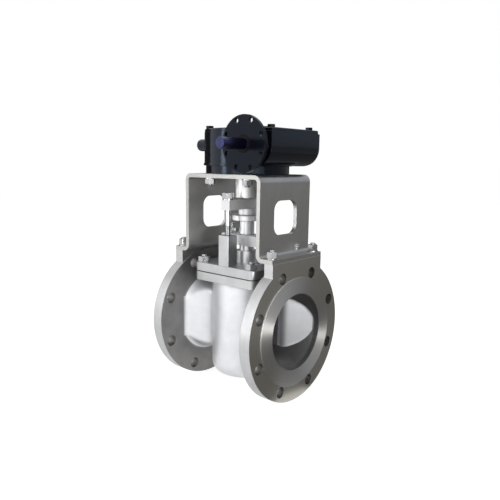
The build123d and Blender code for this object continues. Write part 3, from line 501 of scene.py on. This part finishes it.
@dataclass
class ThreadedStuds:
    """Studs with rolled threads, cut by Geometry Nodes and stood on given places.

    Attributes:
        piece: Name of the finished piece, and of the CAD node that it stands for.
        radius: Outside radius of the thread.
        length: Length of the stud.
        places: Middle of each stud.
        pitch: Pitch of the thread.
        depth: Depth of the thread.
        thread_length: Length of thread at each end.
        waist: Radius between the threads.
        segments: Corners round the stud.
        rings_per_turn: Rows of corners along one turn of the thread.
        chamfer: How far the ends are chamfered.
    """

    piece: str
    radius: float
    length: float
    places: list[Point]
    pitch: float = 1.75 * MM
    depth: float = 0.95 * MM
    thread_length: float = 1.0
    waist: float = 5.2 * MM
    segments: int = 20
    rings_per_turn: int = 6
    chamfer: float = 1.2 * MM

    def tree(self) -> bpy.types.NodeTree:
        """Builds the tree that cuts one stud and copies it to the points it is given.

        Returns:
            The node tree.
        """
        tree = bpy.data.node_groups.new(f"{self.piece}_tree", "GeometryNodeTree")
        face = tree.interface
        face.new_socket("Places", in_out="INPUT", socket_type="NodeSocketGeometry")
        for name in ("Radius", "Length", "Pitch", "Depth", "Thread Length", "Waist", "Chamfer"):
            face.new_socket(name, in_out="INPUT", socket_type="NodeSocketFloat")
        for name in ("Segments", "Rings"):
            face.new_socket(name, in_out="INPUT", socket_type="NodeSocketInt")
        face.new_socket("Finish", in_out="INPUT", socket_type="NodeSocketMaterial")
        face.new_socket("Studs", in_out="OUTPUT", socket_type="NodeSocketGeometry")
        given = add_node(tree, "NodeGroupInput").outputs
        rod = add_node(tree, "GeometryNodeMeshCylinder", {"fill_type": "NGON"}, {
            "Vertices": given["Segments"], "Side Segments": given["Rings"], "Radius": given["Radius"],
            "Depth": given["Length"]}).outputs["Mesh"]
        place = add_node(tree, "GeometryNodeInputPosition").outputs[0]
        split = add_node(tree, "ShaderNodeSeparateXYZ", {}, {0: place}).outputs
        angle = add_node(tree, "ShaderNodeMath", {"operation": "ARCTAN2"}, {0: split["Y"], 1: split["X"]})
        part_turn = add_node(tree, "ShaderNodeMath", {"operation": "DIVIDE", 1: FULL_TURN},
                             {0: angle.outputs[0]})
        risen = add_node(tree, "ShaderNodeMath", {"operation": "DIVIDE"},
                         {0: split["Z"], 1: given["Pitch"]})
        phase = add_node(tree, "ShaderNodeMath", {"operation": "SUBTRACT"},
                         {0: risen.outputs[0], 1: part_turn.outputs[0]})
        ridge = add_node(tree, "ShaderNodeMath", {"operation": "PINGPONG", 1: 0.5}, {0: phase.outputs[0]})
        groove = add_node(tree, "ShaderNodeMapRange", {
            "From Min": 0.06, "From Max": 0.44, "To Min": 1.0, "To Max": 0.0}, {"Value": ridge.outputs[0]})
        cut = add_node(tree, "ShaderNodeMath", {"operation": "MULTIPLY"},
                       {0: groove.outputs["Result"], 1: given["Depth"]})
        height = add_node(tree, "ShaderNodeMath", {"operation": "ABSOLUTE"}, {0: split["Z"]})
        half = add_node(tree, "ShaderNodeMath", {"operation": "MULTIPLY", 1: 0.5}, {0: given["Length"]})
        inset = add_node(tree, "ShaderNodeMath", {"operation": "SUBTRACT"},
                         {0: half.outputs[0], 1: height.outputs[0]})
        threaded = add_node(tree, "ShaderNodeMath", {"operation": "LESS_THAN"},
                            {0: inset.outputs[0], 1: given["Thread Length"]})
        waist_cut = add_node(tree, "ShaderNodeMath", {"operation": "SUBTRACT"},
                             {0: given["Radius"], 1: given["Waist"]})
        depth = add_node(tree, "GeometryNodeSwitch", {"input_type": "FLOAT"}, {
            "Switch": threaded.outputs[0], "False": waist_cut.outputs[0], "True": cut.outputs[0]})
        end = add_node(tree, "ShaderNodeMath", {"operation": "SUBTRACT", "use_clamp": True},
                       {0: given["Chamfer"], 1: inset.outputs[0]})
        taken = add_node(tree, "ShaderNodeMath", {"operation": "MAXIMUM"},
                         {0: depth.outputs[0], 1: end.outputs[0]})
        left = add_node(tree, "ShaderNodeMath", {"operation": "SUBTRACT"},
                        {0: given["Radius"], 1: taken.outputs[0]})
        scale = add_node(tree, "ShaderNodeMath", {"operation": "DIVIDE"},
                         {0: left.outputs[0], 1: given["Radius"]})
        factors = add_node(tree, "ShaderNodeCombineXYZ", {"Z": 1.0},
                           {"X": scale.outputs[0], "Y": scale.outputs[0]})
        moved = add_node(tree, "ShaderNodeVectorMath", {"operation": "MULTIPLY"},
                         {0: place, 1: factors.outputs[0]})
        cut_rod = add_node(tree, "GeometryNodeSetPosition", {},
                           {"Geometry": rod, "Position": moved.outputs[0]})
        copied = add_node(tree, "GeometryNodeInstanceOnPoints", {},
                          {"Points": given["Places"], "Instance": cut_rod.outputs[0]})
        real = add_node(tree, "GeometryNodeRealizeInstances", {}, {"Geometry": copied.outputs[0]})
        dressed = add_node(tree, "GeometryNodeSetMaterial", {},
                           {"Geometry": real.outputs[0], "Material": given["Finish"]})
        add_node(tree, "NodeGroupOutput", {}, {"Studs": dressed.outputs[0]})
        return tree

    def build(self, finish: bpy.types.Material) -> bpy.types.Object:
        """Makes the studs as one plain mesh that stands for the CAD node.

        Args:
            finish: Material of the studs.
        Returns:
            The finished piece.
        """
        seeds = bpy.data.meshes.new(f"{self.piece}_places")
        seeds.from_pydata(self.places, [], [])
        holder = bpy.data.objects.new(f"{self.piece}_holder", seeds)
        bpy.context.scene.collection.objects.link(holder)
        modifier = holder.modifiers.new("studs", "NODES")
        modifier.node_group = self.tree()
        rings = round(self.length / self.pitch * self.rings_per_turn)
        values = {"Radius": self.radius, "Length": self.length, "Pitch": self.pitch, "Depth": self.depth,
                  "Thread Length": self.thread_length, "Waist": self.waist, "Chamfer": self.chamfer,
                  "Segments": self.segments, "Rings": rings, "Finish": finish}
        for socket in modifier.node_group.interface.items_tree:
            if socket.name in values:
                modifier[socket.identifier] = values[socket.name]
        evaluated = holder.evaluated_get(bpy.context.evaluated_depsgraph_get())
        mesh = bpy.data.meshes.new_from_object(evaluated)
        bpy.data.objects.remove(holder)
        mesh.name = f"{self.piece}_threaded"
        mesh.shade_smooth()
        mesh.set_sharp_from_angle(angle=math.radians(50))
        piece = bpy.data.objects.new(f"{self.piece}_threaded", mesh)
        bpy.context.scene.collection.objects.link(piece)
        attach(piece, "valve_frame")
        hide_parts(self.piece)
        log.info("%s threaded: %d faces", self.piece, len(mesh.polygons))
        return piece


def stud_places(node: str, radius: float, count: int) -> tuple[float, list[Point]]:
    """Reads where a CAD node's studs stand from its box.

    Args:
        node: Name of the CAD node.
        radius: Radius of its studs.
        count: 4 for studs at the box's corners, 2 for a pair along its longer side.
    Returns:
        The studs' length and the middle of each.
    """
    low, high = (Vector(corner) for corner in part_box(node))
    middle = (low + high) / 2
    reach = (high - low) / 2 - Vector((radius, radius, 0))
    if count == 4:
        ways = [(i, j) for i in (-1, 1) for j in (-1, 1)]
    else:
        ways = [(-1, 0), (1, 0)] if reach.x > reach.y else [(0, -1), (0, 1)]
    places = [(middle.x + i * reach.x, middle.y + j * reach.y, middle.z) for i, j in ways]
    return high.z - low.z, places


class BodyFace(Enum):
    """Finish of a face of the body, in the order of the material slots."""

    CASTING = "casting"
    FLANGE_FACE = "flange_face"
    RAISED_FACE = "raised_face"
    # Barrel and passages, drawn lighter than the casting: painted light
    BARREL = "casting_body"
    # Inside of the bore, drawn dark: painted shade
    BORE = "bore"
    BOLT_HOLE = "drilled"
    # Backs of the flanges, drawn dark: painted shade
    FLANGE_BACK = "flange_back"
    BORE_SIDE = "bore_side"


@dataclass
class ValveBody:
    """Body, plug and sleeve, with the machined faces of the flanges picked out.

    Attributes:
        outlet_x: Place of the outlet flange's face.
        bolt_circle: Radius of the bolt circle.
        bolt_hole: Radius of a bolt hole.
        bore_radius: Radius of the bore at the faces.
        port_radius: Radius of the round part of a passage at the plug.
        throat: Distance from the stem at which that round part begins to widen.
        flare: Length over which it widens to the bore.
        flange_inside: Distance from the stem to the back of a flange.
        pad_bottom: Height under which the barrel and the passages lie.
        barrel_reach: Distance along the flow that the barrel and its fillets reach from the stem.
        passage_reach: Distance from the bore's axis that the passages and their fillets reach.
        tolerance: How far a face may lie from its place and still count.
    """

    outlet_x: float = 0.2638
    bolt_circle: float = 0.12065
    bolt_hole: float = 0.0111
    bore_radius: float = 0.0762
    port_radius: float = 0.0600
    throat: float = 0.0600
    flare: float = 0.0630
    flange_inside: float = 0.1075
    pad_bottom: float = 0.0855
    barrel_reach: float = 0.075
    passage_reach: float = 0.112
    tolerance: float = 0.0003

    def dress(self, finishes: Finishes) -> None:
        """Gives the castings and the machined faces their finishes.

        Args:
            finishes: The valve's finishes.
        """
        finishes.dress({"casting": ("valve_body",), "plug": ("plug",),
                        "fluoropolymer": ("plug_sleeve", "diaphragm")})
        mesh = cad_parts["valve_body"].data
        slots = list(BodyFace)
        for kind in slots[1:]:
            mesh.materials.append(finishes.get(kind.value))
        for face in mesh.polygons:
            face.material_index = slots.index(self.kind_of(face))

    def kind_of(self, face: bpy.types.MeshPolygon) -> BodyFace:
        """Says which finish a face of the body has.

        Args:
            face: Face of the body's mesh.
        Returns:
            The kind of face.
        """
        x, y, z = face.center
        radius, along = math.hypot(y, z), abs(x - STEM_X)
        outside = max(-x, x - self.outlet_x)
        facing = abs(face.normal.x)
        if facing > 0.99 and outside > 0.001:
            return BodyFace.RAISED_FACE
        if facing > 0.99 and abs(outside) < self.tolerance:
            return BodyFace.FLANGE_FACE
        if facing < 0.9 and radius < self.bore_radius and face.normal.y * y + face.normal.z * z < 0:
            return BodyFace.BORE_SIDE if self.is_bore_side(face) else BodyFace.BORE
        if facing < 0.01 and along > self.flange_inside:
            step = math.pi / 4
            turn = (math.floor(math.atan2(z, y) / step) + 0.5) * step
            hole = math.hypot(y - self.bolt_circle * math.cos(turn), z - self.bolt_circle * math.sin(turn))
            return BodyFace.BOLT_HOLE if hole < self.bolt_hole + self.tolerance else BodyFace.CASTING
        if facing > 0.9 and along > 0.1 and radius > 0.085:
            return BodyFace.FLANGE_BACK
        if z > self.pad_bottom or along > self.flange_inside:
            return BodyFace.CASTING
        on_barrel = radius < self.passage_reach or along < self.barrel_reach
        return BodyFace.BARREL if on_barrel else BodyFace.CASTING

    def is_bore_side(self, face: bpy.types.MeshPolygon) -> bool:
        """Says whether a face inside the bore is one of its upright sides where it widens.

        Args:
            face: Face of the body's mesh, inside the bore.
        Returns:
            False in the throat, on the floor, the roof and the round mouth.
        """
        x, y, z = face.center
        along = abs(x - STEM_X)
        widened = min(max((along - self.throat) / self.flare, 0.0), 1.0)
        round_radius = self.port_radius + widened * (self.bore_radius - self.port_radius)
        upright = abs(face.normal.z) <= 0.05
        return upright and math.hypot(y, z) <= round_radius - 0.0015 and along >= self.throat + 0.002


@dataclass
class BonnetAndGland:
    """Bonnet, packing, gland, thrust parts and bridge bar, with their studs.

    Attributes:
        gland_stud_radius: Radius of the gland studs.
        stud_radius: Radius of the other studs.
        bonnet_top: Height over which the packing neck, a turned face, stands.
        neck_radius: Radius that holds the neck.
    """

    gland_stud_radius: float = 5.0 * MM
    stud_radius: float = 6.0 * MM
    bonnet_top: float = 0.1227
    neck_radius: float = 0.0225

    def dress(self, finishes: Finishes) -> None:
        """Gives the pieces their finishes and cuts threads on the studs.

        Args:
            finishes: The valve's finishes.
        """
        finishes.dress({
            "bonnet": ("bonnet",), "graphite": ("bonnet_gasket", "packing_rings"),
            "stem_turned": ("gland_follower", "thrust_collar", "thrust_washer", "coupling"),
            "milled": ("gland_flange", "bridge_bar"),
            "fastener": ("gland_nuts", "bonnet_nuts", "yoke_nuts", "yoke_washers"),
            "key": ("collar_key", "stem_key"),
        })
        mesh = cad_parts["bonnet"].data
        mesh.materials.append(finishes.get("stem_turned"))
        for face in mesh.polygons:
            x, y, z = face.center
            face.material_index = int(z > self.bonnet_top and math.hypot(x - STEM_X, y) < self.neck_radius)
        finish = finishes.get("fastener")
        length, places = stud_places("gland_studs", self.gland_stud_radius, 2)
        ThreadedStuds("gland_studs", self.gland_stud_radius, length, places, pitch=1.5 * MM,
                      depth=0.8 * MM).build(finish)
        length, places = stud_places("yoke_studs", self.stud_radius, 2)
        ThreadedStuds("yoke_studs", self.stud_radius, length, places, thread_length=34 * MM).build(finish)
        length, places = stud_places("bonnet_studs", self.stud_radius, 4)
        ThreadedStuds("bonnet_studs", self.stud_radius, length, places).build(finish)


@dataclass
class Bracket:
    """Bent plate that carries the gearbox, with its fasteners.

    Attributes:
        stud_radius: Radius of the studs through its feet and its top.
    """

    stud_radius: float = 6.0 * MM

    def dress(self, finishes: Finishes) -> None:
        """Gives the pieces their finishes and cuts threads on the studs.

        Args:
            finishes: The valve's finishes.
        """
        finishes.dress({
            "plate": ("bracket",),
            "fastener": ("foot_nuts", "foot_washers", "gearbox_nuts", "gearbox_washers"),
        })
        for node in ("foot_studs", "gearbox_studs"):
            length, places = stud_places(node, self.stud_radius, 4)
            ThreadedStuds(node, self.stud_radius, length, places).build(finishes.get("fastener"))


@dataclass
class Gearbox:
    """Worm gearbox with its input disc and shaft."""

    def dress(self, finishes: Finishes) -> None:
        """Gives the pieces their finishes.

        Args:
            finishes: The valve's finishes.
        """
        finishes.dress({
            "enamel": ("gearbox_base", "gearbox_housing", "gearbox_cover", "worm_end_cap", "cover_bolts",
                       "stop_caps", "vent_plug"),
            "disc_enamel": ("input_adapter",),
            "blacked": ("base_screws", "end_cap_screws", "adapter_screws", "stop_screws"),
            "shaft": ("worm_shaft",), "milled": ("worm_bearings",), "bronze": ("worm_wheel",),
            "key": ("drive_key",), "rubber": ("shaft_seal",), "acetal": ("indicator",),
        })


@dataclass
class SoftBox:
    """Soft studio lamp that faces the valve.

    Attributes:
        name: Name of the lamp.
        azimuth: Degrees from -Y towards +X.
        elevation: Degrees above the horizon.
        distance: Distance from the valve.
        size: Width and height.
        radiance: Brightness of its face, where 1 is the white of the surroundings.
    """

    name: str
    azimuth: float
    elevation: float
    distance: float
    size: tuple[float, float]
    radiance: float

    def build(self, target: Vector) -> None:
        """Places the lamp.

        Args:
            target: Point that it faces.
        """
        lamp = bpy.data.lights.new(self.name, "AREA")
        lamp.shape = "RECTANGLE"
        lamp.size, lamp.size_y = self.size
        lamp.energy = self.radiance * math.pi * self.size[0] * self.size[1]
        way = direction(self.azimuth, self.elevation)
        place = target + way * self.distance
        obj = bpy.data.objects.new(self.name, lamp)
        obj.matrix_world = Matrix.Translation(place) @ way.to_track_quat("Z", "Y").to_matrix().to_4x4()
        bpy.context.scene.collection.objects.link(obj)


@dataclass
class Board:
    """Curved board round the stem that gives the metal something darker to mirror.

    Attributes:
        name: Name of the board.
        tone: sRGB hex colour that it shows.
        first: Azimuth where it begins.
        last: Azimuth where it ends.
        near: Distance from the stem to its first edge.
        low: Height of its first edge.
        far: Distance from the stem to its second edge.
        high: Height of its second edge.
    """

    name: str
    tone: str
    first: float
    last: float
    near: float
    low: float
    far: float
    high: float


@dataclass
class Studio:
    """Pale floor, plain surroundings, soft lamps and the dark boards that metal needs for shape.

    Attributes:
        target: Middle of the valve.
        floor_z: Height of the floor, under the flanges.
        surround: Strength of the surroundings as a light.
        floor_lift: White that the floor adds where the camera sees it.
        floor_mirrored: White that it adds where metal mirrors it.
        floor_reach: Half the side of the floor.
        board_steps: Flat strips that a curved board is made of.
        lamps: The soft lamps.
        boards: The boards.
    """

    target: Point = (0.132, 0.0, 0.12)
    floor_z: float = -0.1397
    surround: float = 0.62
    floor_lift: float = 0.80
    floor_mirrored: float = 0.60
    floor_reach: float = 6.0
    board_steps: int = 10
    lamps: tuple[SoftBox, ...] = (
        SoftBox("key_window", -45.0, 20.0, 2.6, (2.2, 2.2), 0.15),
        SoftBox("strip", -24.0, 10.0, 2.6, (0.55, 2.2), 4.0),
        SoftBox("fan_light", 60.0, -1.0, 1.2, (0.40, 0.22), 16.0),
        SoftBox("fill", 15.0, 8.0, 2.2, (1.2, 1.2), 1.0),
        SoftBox("top", 20.0, 72.0, 2.2, (2.0, 2.0), 0.4),
    )
    boards: tuple[Board, ...] = (
        Board("outlet_board", "868583", 85.0, 190.0, 1.6, -0.1397, 1.6, 0.40),
        Board("window_board", "B4BAC4", 85.0, 190.0, 1.6, 0.40, 1.6, 1.70),
        Board("far_board", "3C3C3B", 190.0, 288.0, 1.6, -0.1397, 1.6, 1.10),
        Board("floor_board", "6E6D6B", 40.0, 270.0, 0.16, -0.1387, 1.6, -0.1387),
    )

    def board(self, board: Board) -> None:
        """Stands or lays one curved board that only reflections see.

        Args:
            board: The board.
        """
        steps = self.board_steps
        middle = Vector((self.target[0], self.target[1], 0.0))
        turns = [board.first + (board.last - board.first) * i / steps for i in range(steps + 1)]
        corners = [tuple(middle + direction(turn) * reach + Vector((0, 0, level)))
                   for reach, level in ((board.near, board.low), (board.far, board.high)) for turn in turns]
        mesh = bpy.data.meshes.new(board.name)
        mesh.from_pydata(corners, [], [(i, i + 1, i + steps + 2, i + steps + 1) for i in range(steps)])
        material = bpy.data.materials.new(f"{board.name}_felt")
        material.use_nodes = True
        tree = material.node_tree
        tree.nodes.clear()
        glow = add_node(tree, "ShaderNodeEmission", {"Color": linear(board.tone)})
        add_node(tree, "ShaderNodeOutputMaterial", {}, {"Surface": glow.outputs[0]})
        mesh.materials.append(material)
        obj = bpy.data.objects.new(board.name, mesh)
        bpy.context.scene.collection.objects.link(obj)
        obj.visible_camera = obj.visible_diffuse = obj.visible_shadow = obj.visible_transmission = False

    def floor(self) -> None:
        """Lays the pale floor, which keeps the valve's soft shadow."""
        mesh = bpy.data.meshes.new("floor")
        corners = [(i * self.floor_reach, j * self.floor_reach, self.floor_z)
                   for i, j in ((-1, -1), (1, -1), (1, 1), (-1, 1))]
        mesh.from_pydata(corners, [], [(0, 1, 2, 3)])
        material = bpy.data.materials.new("floor_white_paper")
        material.use_nodes = True
        tree = material.node_tree
        tree.nodes.clear()
        paper = add_node(tree, "ShaderNodeBsdfDiffuse", {"Color": linear("B4B4B4")})
        rays = add_node(tree, "ShaderNodeLightPath").outputs
        mirrored = add_node(tree, "ShaderNodeMath", {"operation": "MULTIPLY", 1: self.floor_mirrored},
                            {0: rays["Is Glossy Ray"]})
        lift = add_node(tree, "ShaderNodeMath", {"operation": "MULTIPLY_ADD", 1: self.floor_lift},
                        {0: rays["Is Camera Ray"], 2: mirrored.outputs[0]})
        glow = add_node(tree, "ShaderNodeEmission", {}, {"Strength": lift.outputs[0]})
        both = add_node(tree, "ShaderNodeAddShader", {}, {0: paper.outputs[0], 1: glow.outputs[0]})
        add_node(tree, "ShaderNodeOutputMaterial", {}, {"Surface": both.outputs[0]})
        mesh.materials.append(material)
        obj = bpy.data.objects.new("floor", mesh)
        bpy.context.scene.collection.objects.link(obj)

    def surroundings(self) -> None:
        """Makes the world: white where it is seen or mirrored, and softer as a light."""
        world = bpy.data.worlds.new("surroundings")
        world.use_nodes = True
        tree = world.node_tree
        tree.nodes.clear()
        rays = add_node(tree, "ShaderNodeLightPath").outputs
        seen = add_node(tree, "ShaderNodeMath", {"operation": "MAXIMUM"},
                        {0: rays["Is Camera Ray"], 1: rays["Is Glossy Ray"]})
        also = add_node(tree, "ShaderNodeMath", {"operation": "MAXIMUM"},
                        {0: seen.outputs[0], 1: rays["Is Transmission Ray"]})
        strength = add_node(tree, "ShaderNodeMapRange", {"To Min": self.surround, "To Max": 1.0},
                            {"Value": also.outputs[0]})
        sky = add_node(tree, "ShaderNodeBackground", {"Color": linear("FFFFFF")},
                       {"Strength": strength.outputs["Result"]})
        add_node(tree, "ShaderNodeOutputWorld", {}, {"Surface": sky.outputs[0]})
        bpy.context.scene.world = world

    def build(self) -> None:
        """Sets up the whole studio."""
        target = Vector(self.target)
        for lamp in self.lamps:
            lamp.build(target)
        self.floor()
        self.surroundings()
        for board in self.boards:
            self.board(board)


@dataclass
class PhotographCamera:
    """Camera at the photograph's own place, from the fit of the flanges.

    Attributes:
        place: Camera's place.
        azimuth: Degrees from -Y towards +X.
        elevation: Degrees that the camera looks down.
        roll: Degrees that the frame is turned.
        lens: Focal length in millimetres.
        sensor: Width of the sensor in millimetres.
    """

    place: Point = (0.8782, -0.8458, 0.3266)
    azimuth: float = 41.07
    elevation: float = 9.05
    roll: float = 0.79
    lens: float = 39.72
    sensor: float = 36.0

    def build(self) -> None:
        """Adds the camera and makes it the scene's own."""
        back = direction(self.azimuth, self.elevation)
        right = (-back).cross(Vector((0, 0, 1))).normalized()
        up = right.cross(-back)
        turn = math.radians(self.roll)
        right, up = right * math.cos(turn) + up * math.sin(turn), up * math.cos(turn) - right * math.sin(turn)
        camera = bpy.data.cameras.new("photograph")
        camera.lens, camera.sensor_width = self.lens, self.sensor
        obj = bpy.data.objects.new("photograph", camera)
        turned = Matrix((right, up, back)).transposed().to_4x4()
        obj.matrix_world = Matrix.Translation(Vector(self.place)) @ turned
        bpy.context.scene.collection.objects.link(obj)
        bpy.context.scene.camera = obj


def main() -> None:
    """Builds the studio, then dresses the valve from the body up."""
    logging.basicConfig(level=logging.INFO, format="%(name)s: %(message)s")
    bpy.context.scene.view_settings.view_transform = "Standard"
    PhotographCamera().build()
    Studio().build()
    finishes = Finishes()
    for assembly in (ValveBody(), BonnetAndGland(), Bracket(), Gearbox()):
        assembly.dress(finishes)
        log.info("%s dressed", type(assembly).__name__)


if __name__ == "__main__":
    main()
